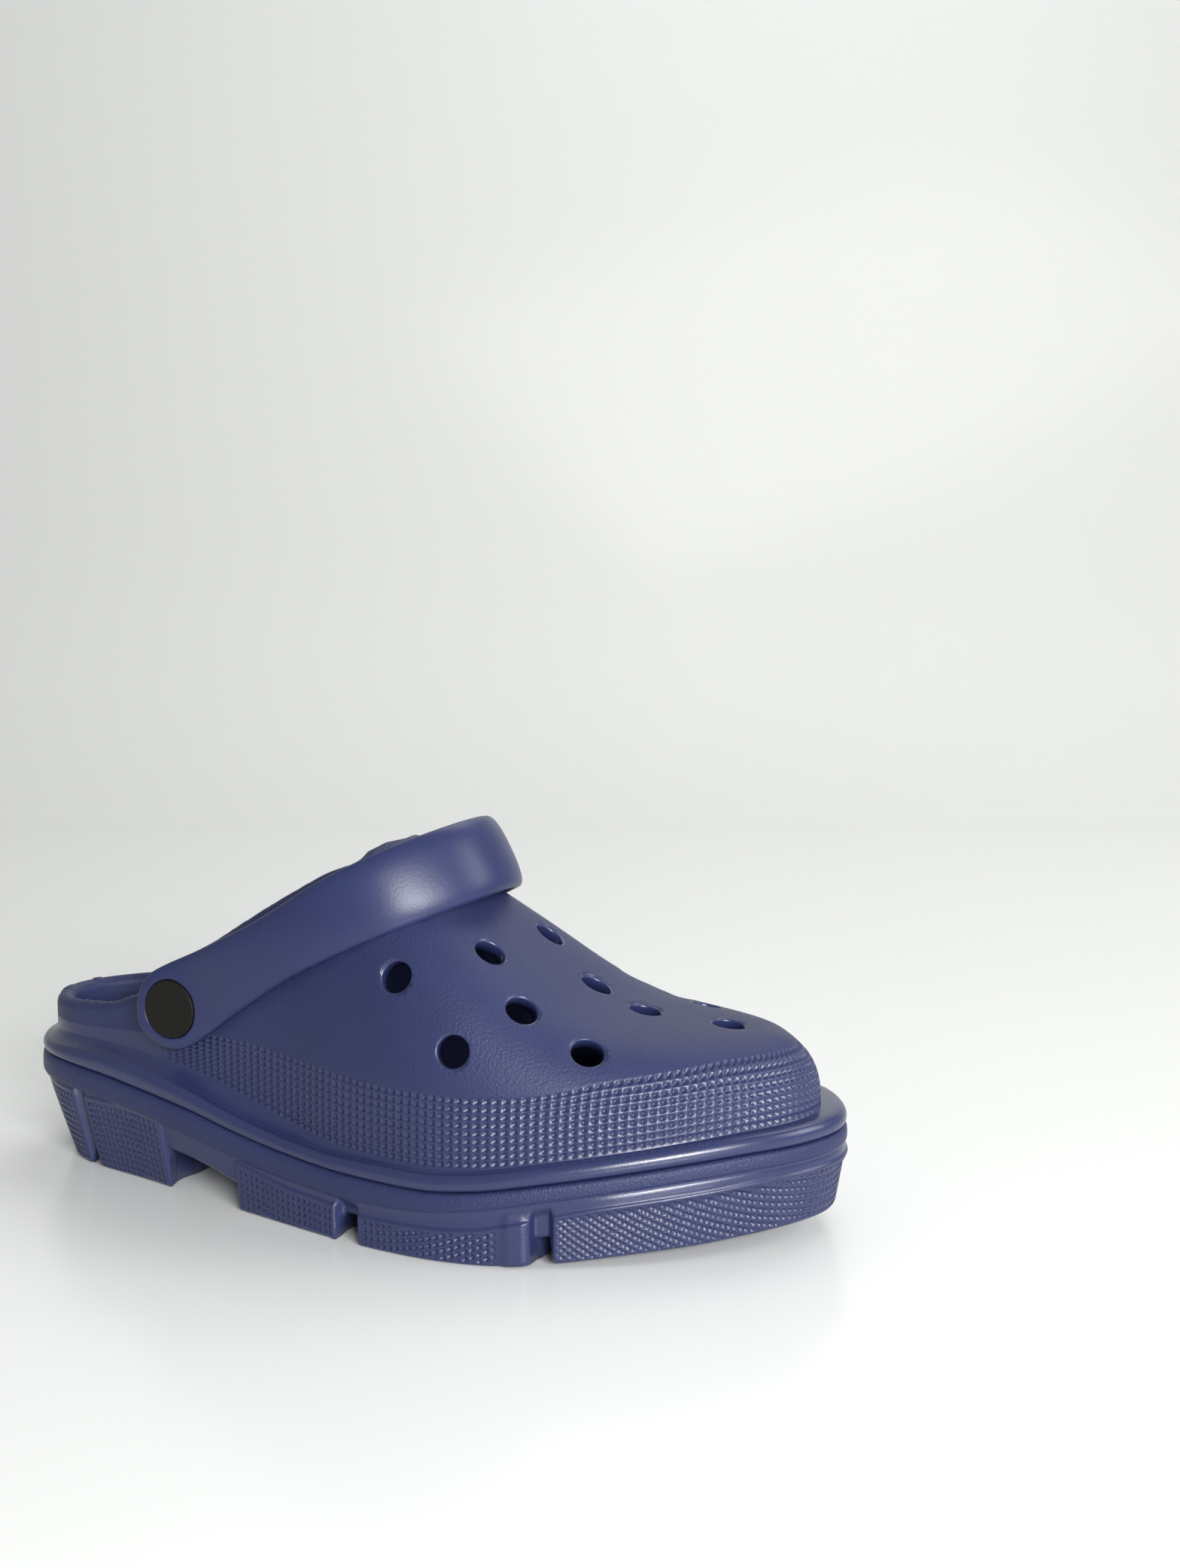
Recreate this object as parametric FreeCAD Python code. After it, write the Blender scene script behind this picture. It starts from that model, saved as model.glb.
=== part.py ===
import FreeCAD, Part
import math
import os

# Right garden clog in moulded foam rubber, size EU 43, as an assembly of loose pieces.
# Millimetres. While a piece is modelled, x runs forward from the back of the heel,
# y runs to the wearer's left (the inner side of a right foot) and z runs up from the ground.
# Each finished piece is then moved so that the origin is on the ground under the
# middle of the whole clog.

V = FreeCAD.Vector

# ---- driving dimensions -------------------------------------------------------------
LENGTH = 295.5            # heel to toe, along the welt
CENTRE_X = 147.8          # middle of the clog, from the back of the heel
CENTRE_Y = 0.9            # middle of the clog, from the line through heel and toe

WALL = 4.5                # thickness of the upper
FOOTBED = 3.5             # thickness of the tub that the foot stands in
FOOTBED_DROP = 6.0        # footbed surface below the parting line of upper and outsole
WELT_INSET = 0.3          # bead round the foot of the upper
LEDGE_INSET = 2.6         # sloping shelf between the bead and the wall, as a step
WALL_FOOT = 6.5           # height above the parting line where the wall stops being upright
FLOOR_BELOW = -2.0        # lofts start below the ground, so that every cut is clean
FAR_SIDE = 90.0           # cutters reach this far to each side, beyond the widest point
FAR_BACK = -20.0
FAR_FRONT = 310.0
OVERHEAD = 160.0

TOE_SPRING = 7.2          # lift of the sole at the tip of the toe
SPRING_START = 205.0      # where the sole leaves the ground
SPRING_CURVE = 1.2

HOLE_RADIUS = 5.2         # vent holes in the vamp
HOLE_DEPTH = 16.0

PIVOT_X = 83.0            # strap rivets
PIVOT_Z = 64.0
STRAP_MIDDLE_Y = -4.3     # half way between the two ends of the strap
STRAP_INNER_HALF = 35.3   # from there to the inner face of each end
STRAP_END_THICKNESS = 5.0
STRAP_END_RADIUS = 14.0
STRAP_REST_ANGLE = 29.5   # the strap leans this far up from level when folded forward
STRAP_BORE = 5.06
CAP_RECESS_RADIUS = 10.0
CAP_RECESS_DEPTH = 2.4
SIDE_GAP = 0.3            # play beside each end of the strap

CAP_RADIUS = 9.7
CAP_HEAD = 2.5
SHANK_RADIUS = 5.0
SHANK_BORE = 2.6
PIN_RADIUS = 2.54
PIN_LENGTH = 5.0
POST_HEAD_RADIUS = 9.0
POST_HEAD = 2.0
BOSS_RADIUS = 9.5
WALL_SEAT_RADIUS = 9.6
WALL_SEAT_DEPTH = 0.6     # how far the inner plate sits outside the wall's inner face
WALL_SEAT_REACH = 12.0
SHANK_PLAY = 0.05
HAIRLINE = 0.02           # gap that keeps two touching rivet faces apart
EDGE_ROUND = 0.6

# Plan outline of the welt: heel, outer side, toe, inner side.
OUTLINE = [
    (0, 0), (7, -19), (23, -32.5), (50, -39.5), (90, -45.5), (130, -52), (165, -58.5),
    (195, -60), (224, -52.5), (251, -39), (274, -21.5), (290, -2), (295.5, 16), (289, 36),
    (274, 51.5), (250, 59.5), (221.5, 62), (189.5, 55.5), (150, 44.5), (110, 37.5),
    (70, 35.5), (40, 35.5), (17, 28.5), (4.4, 16),
]

# Heights and insets by distance from the back of the heel.
PARTING = [(-20, 38), (22, 38), (43, 36.7), (67, 33.6), (90, 30), (112, 25.7), (134, 22.8),
           (155, 21.4), (184, 21.1), (200, 22.2), (226, 26), (247, 29), (266, 31.4), (280, 32.6),
           (315, 33.4)]
WELT_HEIGHT = [(0, 5), (20, 5.5), (55, 8.4), (78, 7.8), (100, 6.3), (122, 5.4), (144, 5),
               (175, 5.8), (295, 5.8)]
LEDGE_HEIGHT = [(0, 7), (50, 10), (90, 10.5), (117, 9), (143, 7.2), (184, 6.6), (295, 6.4)]
WALL_INSET = [(0, 5.5), (60, 6.4), (100, 7.8), (125, 7), (150, 5), (200, 3.5), (250, 3.6),
              (275, 4.6), (295, 5.6)]
RIDGE = [(0, 112), (60, 119), (100, 123), (130, 124), (151, 121), (170, 110.5), (188, 100),
         (207, 86.6), (218, 79.8), (231, 73.4), (244, 70), (262, 66), (275, 62.5), (284, 57),
         (290, 49), (293, 41)]
RIDGE_Y = [(0, -4), (150, -4), (200, -1), (250, 8), (295, 16)]
FULLNESS = [(0, 3), (90, 3), (125, 2.2), (150, 2), (200, 1.75), (240, 1.8), (295, 2.0)]
COLLAR = [(-20, 57), (3, 57), (45, 59.5), (62, 65), (76, 74.5), (99.5, 89), (124.5, 107),
          (137, 115), (146, 118.5), (150, 124), (152, 150)]

# Vent holes in the vamp: outer side, ridge and inner side.
VENT_HOLES = [
    (167.6, -41), (191.3, -47), (191.4, -24), (206.6, -31), (228, -30),
    (200, 2), (220.6, -6.3), (236.5, -4.5), (261.4, 6),
    (175.7, 29.2), (193.4, 23.5), (196.4, 40.5), (208.7, 31), (230.9, 36.1), (239.5, 22.9),
]

# Gaps between the lugs under the sole: first and last x, and depth.
LUG_GAPS = [(33, 38, 5), (77, 110, 9), (154, 162, 8), (220.5, 226, 7)]


def smooth(stations, x):
    """Value at x of a smooth curve through (x, value) stations, flat past both ends."""
    if x <= stations[0][0]:
        return float(stations[0][1])
    if x >= stations[-1][0]:
        return float(stations[-1][1])
    k = 0
    while stations[k + 1][0] < x:
        k += 1
    slopes = []
    for i in (k, k + 1):
        lo = stations[max(i - 1, 0)]
        hi = stations[min(i + 1, len(stations) - 1)]
        here = stations[i]
        before = (here[1] - lo[1]) / (here[0] - lo[0]) if here is not lo else 0.0
        after = (hi[1] - here[1]) / (hi[0] - here[0]) if here is not hi else 0.0
        slopes.append(0.0 if before * after <= 0 else 2 * before * after / (before + after))
    x0, v0 = stations[k]
    x1, v1 = stations[k + 1]
    step = x1 - x0
    t = (x - x0) / step
    return (v0 * (2 * t**3 - 3 * t**2 + 1) + slopes[0] * step * (t**3 - 2 * t**2 + t)
            + v1 * (3 * t**2 - 2 * t**3) + slopes[1] * step * (t**3 - t**2))


def welt_curve():
    curve = Part.BSplineCurve()
    curve.interpolate([V(x, y, 0) for x, y in OUTLINE], PeriodicFlag=True)
    return curve


WELT = welt_curve()


def inset_points(inset, count=96):
    """Points of the welt outline moved inward; inset is a number or a list of stations."""
    first, last = WELT.FirstParameter, WELT.LastParameter
    points = []
    for i in range(count):
        here, along = WELT.getD1(first + (last - first) * i / count)
        along.normalize()
        amount = smooth(inset, here.x) if isinstance(inset, list) else inset
        points.append(here + V(-along.y, along.x, 0) * amount)
    return points


def plan_block(inset, low=-5.0, high=80.0):
    """The inset outline as an upright block."""
    curve = Part.BSplineCurve()
    curve.interpolate([p + V(0, 0, low) for p in inset_points(inset)], PeriodicFlag=True)
    return Part.Face(Part.Wire(curve.toShape())).extrude(V(0, 0, high - low))


def side_block(lower, upper):
    """Everything between two heights, each a function of x, across the whole width."""
    xs = [FAR_BACK + (FAR_FRONT - FAR_BACK) * i / 22 for i in range(23)]
    low = Part.BSplineCurve()
    low.interpolate([V(x, -FAR_SIDE, lower(x)) for x in xs])
    high = Part.BSplineCurve()
    high.interpolate([V(x, -FAR_SIDE, upper(x)) for x in xs])
    front = Part.makeLine(low.EndPoint, high.EndPoint)
    back = Part.makeLine(high.StartPoint, low.StartPoint)
    wire = Part.Wire([low.toShape(), front, high.toShape(), back])
    return Part.Face(wire).extrude(V(0, 2 * FAR_SIDE, 0))


def parting(shift):
    """Height of the parting line, moved by a number or by a list of stations."""
    if isinstance(shift, list):
        return lambda x: smooth(PARTING, x) + smooth(shift, x)
    return lambda x: smooth(PARTING, x) + shift


def ground(x):
    lift = max(x - SPRING_START, 0.0) / (LENGTH - SPRING_START)
    return TOE_SPRING * lift**SPRING_CURVE


def side_y(points, x):
    """Where the outline crosses x, on the outer and on the inner side."""
    crossings = []
    for a, b in zip(points, points[1:] + points[:1]):
        if (a.x - x) * (b.x - x) <= 0 and a.x != b.x:
            crossings.append(a.y + (b.y - a.y) * (x - a.x) / (b.x - a.x))
    return min(crossings), max(crossings)


def arch(t, fullness):
    """Point of a rounded arch at angle t from its foot: outward and upward fractions."""
    size = (math.cos(t)**fullness + math.sin(t)**fullness)**(-1.0 / fullness)
    return math.cos(t) * size, math.sin(t) * size


def dome(thinner, end_gap):
    """The upper as a closed form, made smaller all round by a wall thickness."""
    inset = [(x, amount + thinner) for x, amount in WALL_INSET]
    points = inset_points(inset, 240)
    first = min(p.x for p in points) + end_gap
    last = max(p.x for p in points) - end_gap
    stations = [first, first + 1.5, first + 5, first + 12, first + 24]
    stations += [45 + 15 * i for i in range(15)]
    stations += [last - 13, last - 6.5, last - 2.5, last]
    steps = 8
    wires = []
    for x in stations:
        outer, inner = side_y(points, x)
        middle = smooth(RIDGE_Y, x)
        middle = min(max(middle, outer + 2), inner - 2)
        foot = smooth(PARTING, x) + WALL_FOOT - thinner
        top = max(smooth(RIDGE, x + thinner * 0.8) - thinner, foot + 2)
        fullness = smooth(FULLNESS, x)
        ring = []
        for i in range(2 * steps + 1):
            t = math.pi * i / (2 * steps)
            out, up = arch(min(t, math.pi - t), fullness)
            side = outer if t <= math.pi / 2 else inner
            ring.append(V(x, middle + (side - middle) * out, foot + (top - foot) * up))
        curve = Part.BSplineCurve()
        curve.interpolate(ring)
        lowest_outer = V(x, outer, FLOOR_BELOW)
        lowest_inner = V(x, inner, FLOOR_BELOW)
        wires.append(Part.Wire([
            Part.makeLine(lowest_outer, ring[0]), curve.toShape(),
            Part.makeLine(ring[-1], lowest_inner), Part.makeLine(lowest_inner, lowest_outer)]))
    return Part.makeLoft(wires, True, False)


def above_collar():
    """Everything over the rim of the foot opening."""
    curve = Part.BSplineCurve()
    curve.interpolate([V(x, -FAR_SIDE, z) for x, z in COLLAR])
    corner = V(FAR_BACK, -FAR_SIDE, COLLAR[-1][1])
    wire = Part.Wire([curve.toShape(), Part.makeLine(curve.EndPoint, corner),
                      Part.makeLine(corner, curve.StartPoint)])
    return Part.Face(wire).extrude(V(0, 2 * FAR_SIDE, 0))


def vent_holes(outer):
    """Round cutters square to the surface of the vamp."""
    cutters = []
    for x, y in VENT_HOLES:
        probe = Part.makeLine(V(x, y, PARTING[-1][1] + WALL_FOOT), V(x, y, OVERHEAD))
        spot = V(x, y, max(vertex.Z for vertex in probe.common(outer).Vertexes))
        face = min(outer.Faces, key=lambda f: f.distToShape(Part.Vertex(spot))[0])
        u, v = face.Surface.parameter(spot)
        normal = face.normalAt(u, v)
        if normal.z < 0:
            normal = normal * -1
        start = spot - normal * HOLE_DEPTH / 2
        cutters.append(Part.makeCylinder(HOLE_RADIUS, HOLE_DEPTH, start, normal))
    return cutters


def disc(side, radius, inner_half, outer_half):
    """Cylinder on the rivet axis between two distances from the middle of the strap."""
    start = V(PIVOT_X, STRAP_MIDDLE_Y + side * inner_half, PIVOT_Z)
    return Part.makeCylinder(radius, outer_half - inner_half, start, V(0, side, 0))


def wall_half(side):
    """Where the outer face of the wall crosses the rivet axis, from the strap's middle."""
    inset = smooth(WALL_INSET, PIVOT_X)
    outer, inner = side_y(inset_points(inset, 240), PIVOT_X)
    edge = outer if side < 0 else inner
    return abs(edge - STRAP_MIDDLE_Y)


def upper_shell():
    outer = dome(0.0, 0.4)
    inner = dome(WALL, 0.4)
    body = outer.common(side_block(parting(0), lambda x: OVERHEAD))
    welt = plan_block(WELT_INSET).common(side_block(parting(0), parting(WELT_HEIGHT)))
    ledge = plan_block(LEDGE_INSET).common(side_block(parting(0), parting(LEDGE_HEIGHT)))
    body = body.fuse([welt, ledge, footbed_tub()])
    for side in (-1, 1):
        body = body.fuse(disc(side, BOSS_RADIUS, wall_half(side) - WALL,
                              STRAP_INNER_HALF - SIDE_GAP))
    hollow = inner.common(side_block(parting(-FOOTBED_DROP), lambda x: OVERHEAD))
    body = body.cut(hollow)
    body = body.cut(above_collar())
    body = body.cut(vent_holes(outer))
    for side in (-1, 1):
        seat = wall_half(side) - WALL - WALL_SEAT_DEPTH
        body = body.cut(disc(side, WALL_SEAT_RADIUS, seat - WALL_SEAT_REACH, seat))
        body = body.cut(disc(side, SHANK_RADIUS + SHANK_PLAY, seat - 2, STRAP_INNER_HALF + 1))
    return max(body.removeSplitter().Solids, key=lambda s: s.Volume)


def footbed_tub():
    inset = [(x, amount + WALL - FOOTBED) for x, amount in WALL_INSET]
    slab = side_block(parting(-FOOTBED_DROP - FOOTBED), parting(0))
    return plan_block(inset).common(slab)


def under_toe():
    """The space under the toe spring."""
    steps = 8
    run = FAR_FRONT - SPRING_START
    rise = [V(SPRING_START + run * i / steps, -FAR_SIDE, ground(SPRING_START + run * i / steps))
            for i in range(steps + 1)]
    curve = Part.BSplineCurve()
    curve.interpolate(rise)
    corner = V(FAR_FRONT, -FAR_SIDE, 2 * FLOOR_BELOW)
    heel_side = V(SPRING_START, -FAR_SIDE, 2 * FLOOR_BELOW)
    wire = Part.Wire([curve.toShape(), Part.makeLine(rise[-1], corner),
                      Part.makeLine(corner, heel_side), Part.makeLine(heel_side, rise[0])])
    return Part.Face(wire).extrude(V(0, 2 * FAR_SIDE, 0))


def outsole():
    block = plan_block(0.0, low=0.0).common(side_block(lambda x: FLOOR_BELOW, parting(0)))
    block = block.cut(footbed_tub())
    block = block.cut(under_toe())
    for start, end, depth in LUG_GAPS:
        height = depth + ground(start) - FLOOR_BELOW
        corner = V(start, -FAR_SIDE, FLOOR_BELOW)
        block = block.cut(Part.makeBox(end - start, 2 * FAR_SIDE, height, corner))
    return block.removeSplitter()


def strap_profile(points):
    """Half of the strap's bow, as seen square to it, mirrored to the other side."""
    left = [V(r, -half, 0) for r, half in points]
    right = [V(r, half, 0) for r, half in reversed(points[:-1])]
    curve = Part.BSplineCurve()
    curve.interpolate(left + right)
    return curve


def heel_strap():
    end = STRAP_INNER_HALF
    inner = strap_profile([(14, end), (28, end + 2.1), (45, end + 3.6), (60, end + 3.9),
                           (76, end + 1.8), (90, end - 4.2), (99.5, 23), (106.5, 12.5), (109, 0)])
    thick = STRAP_END_THICKNESS
    outer = strap_profile([(14, end + thick), (28, end + 7.2), (45, end + 8.9), (60, end + 9.3),
                           (77, end + 7.2), (93, end + 0.7), (104, 26.5), (112, 14.5), (115, 0)])
    tail = -STRAP_END_RADIUS - 1
    corners = [inner.StartPoint, V(tail, -end, 0), V(tail, -end - thick, 0), outer.StartPoint]
    mirrored = [V(p.x, -p.y, 0) for p in corners]
    lines = [Part.makeLine(a, b) for a, b in zip(corners, corners[1:])]
    lines += [Part.makeLine(a, b) for a, b in zip(mirrored, mirrored[1:])]
    bow = Part.Face(Part.Wire(Part.sortEdges(lines + [inner.toShape(), outer.toShape()])[0]))
    bow.translate(V(0, 0, -2 * STRAP_END_RADIUS))
    bow = bow.extrude(V(0, 0, 4 * STRAP_END_RADIUS))

    upper_edge = [(0, 14), (22, 12.2), (50, 10.8), (75, 11.8), (100, 12.8), (119, 12.8)]
    lower_edge = [(0, -14), (22, -12.2), (50, -10.8), (75, -12), (100, -13.2), (119, -13.2)]
    top = Part.BSplineCurve()
    top.interpolate([V(r, -FAR_SIDE, w) for r, w in upper_edge])
    bottom = Part.BSplineCurve()
    bottom.interpolate([V(r, -FAR_SIDE, w) for r, w in lower_edge])
    wire = Part.Wire([bottom.toShape(), Part.makeLine(bottom.EndPoint, top.EndPoint),
                      top.toShape(), Part.makeLine(top.StartPoint, bottom.StartPoint)])
    band = Part.Face(wire).extrude(V(0, 2 * FAR_SIDE, 0))
    round_end = Part.makeCylinder(STRAP_END_RADIUS, 2 * FAR_SIDE, V(0, -FAR_SIDE, 0), V(0, 1, 0))
    strap = bow.common(band.fuse(round_end))
    strap.rotate(V(0, 0, 0), V(0, 1, 0), -STRAP_REST_ANGLE)
    strap.translate(V(PIVOT_X, STRAP_MIDDLE_Y, PIVOT_Z))
    face = STRAP_INNER_HALF + STRAP_END_THICKNESS
    for side in (-1, 1):
        strap = strap.cut(disc(side, STRAP_BORE, STRAP_INNER_HALF - 2, face + 2))
        strap = strap.cut(disc(side, CAP_RECESS_RADIUS, face - CAP_RECESS_DEPTH, face + 2))
    return strap.removeSplitter()


def rivet_cap(side):
    """Flat button on the outside with a tubular shank through strap and wall."""
    under_head = STRAP_INNER_HALF + STRAP_END_THICKNESS - CAP_RECESS_DEPTH + SIDE_GAP
    inner_end = wall_half(side) - WALL - WALL_SEAT_DEPTH
    head = disc(side, CAP_RADIUS, under_head, under_head + CAP_HEAD)
    head = head.makeFillet(EDGE_ROUND, [max(head.Edges, key=lambda e: side * e.BoundBox.Center.y)])
    shank = disc(side, SHANK_RADIUS, inner_end, under_head)
    bore = disc(side, SHANK_BORE, inner_end, inner_end + PIN_LENGTH + 0.5)
    return head.fuse(shank).cut(bore).removeSplitter()


def rivet_post(side):
    """Round plate inside the wall, with a pin that snaps into the shank."""
    inner_end = wall_half(side) - WALL - WALL_SEAT_DEPTH
    plate = inner_end - HAIRLINE
    head = disc(side, POST_HEAD_RADIUS, plate - POST_HEAD, plate)
    pin = disc(side, PIN_RADIUS, plate, inner_end + PIN_LENGTH)
    return head.fuse(pin).removeSplitter()


PIECES = {
    "upper_shell": upper_shell,
    "outsole": outsole,
    "heel_strap": heel_strap,
    "rivet_cap_outer_side": lambda: rivet_cap(-1),
    "rivet_cap_inner_side": lambda: rivet_cap(1),
    "rivet_post_outer_side": lambda: rivet_post(-1),
    "rivet_post_inner_side": lambda: rivet_post(1),
}

os.makedirs("parts", exist_ok=True)
for name, build in PIECES.items():
    shape = build()
    shape.translate(V(-CENTRE_X, -CENTRE_Y, 0))
    shape.exportStep("parts/" + name + ".step")
    box = shape.BoundBox
    print(name, shape.isValid(), len(shape.Solids), round(shape.Volume),
          [round(v, 2) for v in (box.XMin, box.XMax, box.YMin, box.YMax, box.ZMin, box.ZMax)])
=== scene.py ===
import math
import bmesh
import bpy
import numpy as np
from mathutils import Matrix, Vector
from mathutils.bvhtree import BVHTree


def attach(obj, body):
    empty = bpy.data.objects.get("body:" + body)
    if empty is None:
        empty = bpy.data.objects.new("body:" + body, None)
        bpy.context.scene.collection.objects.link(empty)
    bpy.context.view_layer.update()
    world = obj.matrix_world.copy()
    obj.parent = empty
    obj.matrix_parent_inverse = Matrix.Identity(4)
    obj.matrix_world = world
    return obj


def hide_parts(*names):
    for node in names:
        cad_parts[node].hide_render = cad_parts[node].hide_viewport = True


# Right garden clog in navy foam rubber. The shapes are worked out in millimetres, with x
# forward from the back of the heel, y to the inner side of the foot and z up from the floor,
# and are moved into the frame's metres when each mesh is made. Most shapes are station
# lists of (x, value), which smooth() turns into curves.

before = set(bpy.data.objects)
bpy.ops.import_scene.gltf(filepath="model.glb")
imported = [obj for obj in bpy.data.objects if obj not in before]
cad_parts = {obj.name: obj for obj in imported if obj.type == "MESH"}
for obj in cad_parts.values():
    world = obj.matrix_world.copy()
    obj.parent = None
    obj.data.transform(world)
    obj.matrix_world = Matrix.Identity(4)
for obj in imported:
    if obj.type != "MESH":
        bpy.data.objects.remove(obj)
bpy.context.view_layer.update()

CENTRE = np.array([147.8, 0.9, 0.0])
MILLIMETRE = 0.001

# ---- shape of the clog, by distance from the back of the heel -----------------------
OUTLINE = [
    (0, 0), (7, -19), (23, -32.5), (50, -39.5), (90, -45.5), (130, -52), (165, -58.5),
    (195, -60), (224, -52.5), (251, -39), (274, -21.5), (290, -2), (295.5, 16), (289, 36),
    (274, 51.5), (250, 59.5), (221.5, 62), (189.5, 55.5), (150, 44.5), (110, 37.5),
    (70, 35.5), (40, 35.5), (17, 28.5), (4.4, 16),
]
PARTING = [(-20, 38), (22, 38), (43, 36.7), (67, 33.6), (90, 30), (112, 25.7), (134, 22.8),
           (155, 21.4), (184, 21.1), (200, 22.2), (226, 26), (247, 29), (266, 31.4), (280, 32.6),
           (315, 33.4)]
BEAD = [(0, 5), (20, 5.5), (55, 8.4), (78, 7.8), (100, 6.3), (122, 5.4), (144, 5), (175, 5.8),
        (295, 5.8)]
WALL_INSET = [(0, 5.5), (60, 6.4), (100, 7.8), (125, 7), (150, 5), (200, 3.5), (250, 3.6),
              (275, 4.6), (295, 5.6)]
RIDGE = [(0, 112), (60, 119), (100, 123), (130, 124), (151, 119.5), (170, 106.5), (188, 94),
         (207, 80.5), (218, 74), (231, 68.8), (244, 66.4), (262, 63.5), (275, 61.5)]
RIDGE_Y = [(0, -4), (150, -4), (200, -1), (250, 8), (295, 16)]
FULLNESS = [(0, 3), (90, 3), (125, 2.4), (150, 2.4), (175, 2.8), (200, 3), (240, 3), (295, 2.7)]
COLLAR = [(-20, 57), (3, 57), (45, 59.5), (62, 65), (76, 74.5), (99.5, 89), (124.5, 105.5),
          (137, 113), (146, 117), (150, 123), (152, 150)]
WALL_FOOT = [(0, 7.5), (50, 10.5), (76, 11.4), (90, 11.2), (103.5, 10.5), (117, 9.3), (130, 7.9),
             (143, 7.1), (155, 6.7), (184, 6.7), (217, 6.3), (257, 6.2), (295, 6.2)]
BAND_TOP = [(0, 50), (60, 52), (80, 55), (101.7, 55), (135.7, 52.5), (166, 50.6), (198, 50.5),
            (216, 51.3), (228, 53.2), (239, 55.5), (251, 57), (263, 58.4), (273.5, 59.4),
            (295, 59.6)]
TOE_LEDGE, TOE_LEDGE_AT, TOE_LEDGE_REACH = 4.5, 26.0, 30.0
BAND_ROWS = 9
RIB_HEIGHT = 1.0
SPINE_BACK, SPINE_STRAIGHT_FROM, SPINE_STRAIGHT_TO, SPINE_FRONT = 30.0, 55.0, 235.0, 262.0
WALL = 4.5
RIM_SWELL = 1.6
RIM_DROP = 3.0
FOOTBED_DROP = 6.0
FOOTBED = 3.5
CELLS = 116               # lattice cells along each side, from heel to toe
RIB_SHARE, RIB_FOOT = 0.24, 0.40   # where a rib's top and its flank end, in one cell
BAND_FADE = (70, 80)      # the lattice starts between these x
VAMP_ROWS = 64
RIM_ANGLES = (25, 50, 75, 90, 105, 130, 155)
THROAT_FACING = (-0.95, 0, 0.3)    # the way the rim faces where it meets the ridge

STRIP = [(0, 7.5), (150, 7.5), (200, 5.5), (230, 4.8), (295, 4.7)]
GROUND = [(205, 0), (228, 1.4), (239, 2.6), (253, 4.0), (266, 5.0), (278, 6.2), (295, 7.2)]
GROUND_INSET = [(0, 12), (25, 9.5), (60, 7.6), (110, 2.2), (150, 0.4), (200, 1.0), (250, 2.5),
                (295, 4)]
LENGTH = 295.5
GAPS = [(33, 38), (76, 110), (154, 162), (220.5, 226)]
GAP_ROOF = [(33, 5), (40, 5), (76, 14), (85, 13.4), (97, 11.4), (112, 8.2), (150, 8), (165, 8),
            (215, 7.5), (230, 8)]
LUG_TOPS = [(0, 28), (30, 27.5), (40, 26), (56, 26), (74, 24.2), (111, 15.6), (122.6, 13.4),
            (133.4, 11.6), (150, 10.4), (165, 8.8), (188, 9.2), (203, 10.2), (212, 12),
            (227, 15.5), (240, 18.2), (253, 20), (266, 21.4), (279, 23), (295, 23.8)]
LUG_SPANS = [(-20, 32.5), (38.5, 75.5), (110.5, 153.5), (162.5, 211), (226.5, 320)]
PAD_SPANS = [(-20, 32.5), (38.5, 75.5), (110.5, 153.5), (162.5, 220), (226.5, 320)]
POST_SPAN = (212.0, 219.5)

HOLE_RADIUS = 5.0
VENT_LIP = 0.8
VENT_ROWS = {
    "low on the outer side": [(171, -47), (194, -53)],
    "outer side": [(193, -26), (209, -36), (230, -34)],
    "along the ridge": [(195, 13), (216, 4), (233, 4), (258, 13)],
    "inner side": [(176, 29), (196, 43), (214, 38), (231, 38), (243, 33)],
}

PIVOT = np.array([83.0, -4.3, 64.0])
STRAP_END_HALF = 35.3
STRAP_THICK = 5.0
STRAP_END_RADIUS = 14.0
STRAP_REST_ANGLE = 29.5
STRAP_CROWN = 0.9
RECESS_RADIUS, BORE_RADIUS = 10.0, 5.06


def smooth(stations, x):
    """Smooth curve through (x, value) stations, flat past both ends."""
    xs, values = np.array(stations, float).T
    x = np.clip(np.asarray(x, float), xs[0], xs[-1])
    steps = np.diff(xs)
    rise = np.diff(values) / steps
    slope = np.zeros(len(xs))
    both = rise[:-1] * rise[1:]
    total = rise[:-1] + rise[1:]
    safe = np.where(both > 0, total, 1.0)
    slope[1:-1] = np.where(both > 0, 2 * both / safe, 0.0)
    k = np.clip(np.searchsorted(xs, x, side="right") - 1, 0, len(xs) - 2)
    t = (x - xs[k]) / steps[k]
    return (values[k] * (2 * t**3 - 3 * t**2 + 1) + slope[k] * steps[k] * (t**3 - 2 * t**2 + t)
            + values[k + 1] * (3 * t**2 - 2 * t**3) + slope[k + 1] * steps[k] * (t**3 - t**2))


def ease(low, high, x):
    """0 below low, 1 above high, smooth between them."""
    t = np.clip((np.asarray(x, float) - low) / (high - low), 0, 1)
    return t * t * (3 - 2 * t)


def closed_curve(points, samples=6000):
    """Dense points on the closed cubic spline through the given ones."""
    p = np.array(points, float)
    n = len(p)
    h = np.linalg.norm(np.roll(p, -1, 0) - p, axis=1)
    a = np.zeros((n, n))
    b = np.zeros((n, 2))
    for i in range(n):
        before, after = h[i - 1], h[i]
        a[i, i - 1] += before
        a[i, i] += 2 * (before + after)
        a[i, (i + 1) % n] += after
        b[i] = 6 * ((p[(i + 1) % n] - p[i]) / after - (p[i] - p[i - 1]) / before)
    bend = np.linalg.solve(a, b)
    at = np.linspace(0, h.sum(), samples, endpoint=False)
    starts = np.concatenate([[0], np.cumsum(h)])
    k = np.clip(np.searchsorted(starts, at, side="right") - 1, 0, n - 1)
    after = (k + 1) % n
    u = (at - starts[k])[:, None]
    w = h[k][:, None] - u
    step = h[k][:, None]
    return (bend[k] * w**3 + bend[after] * u**3) / (6 * step) \
        + (p[k] / step - bend[k] * step / 6) * w + (p[after] / step - bend[after] * step / 6) * u


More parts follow.
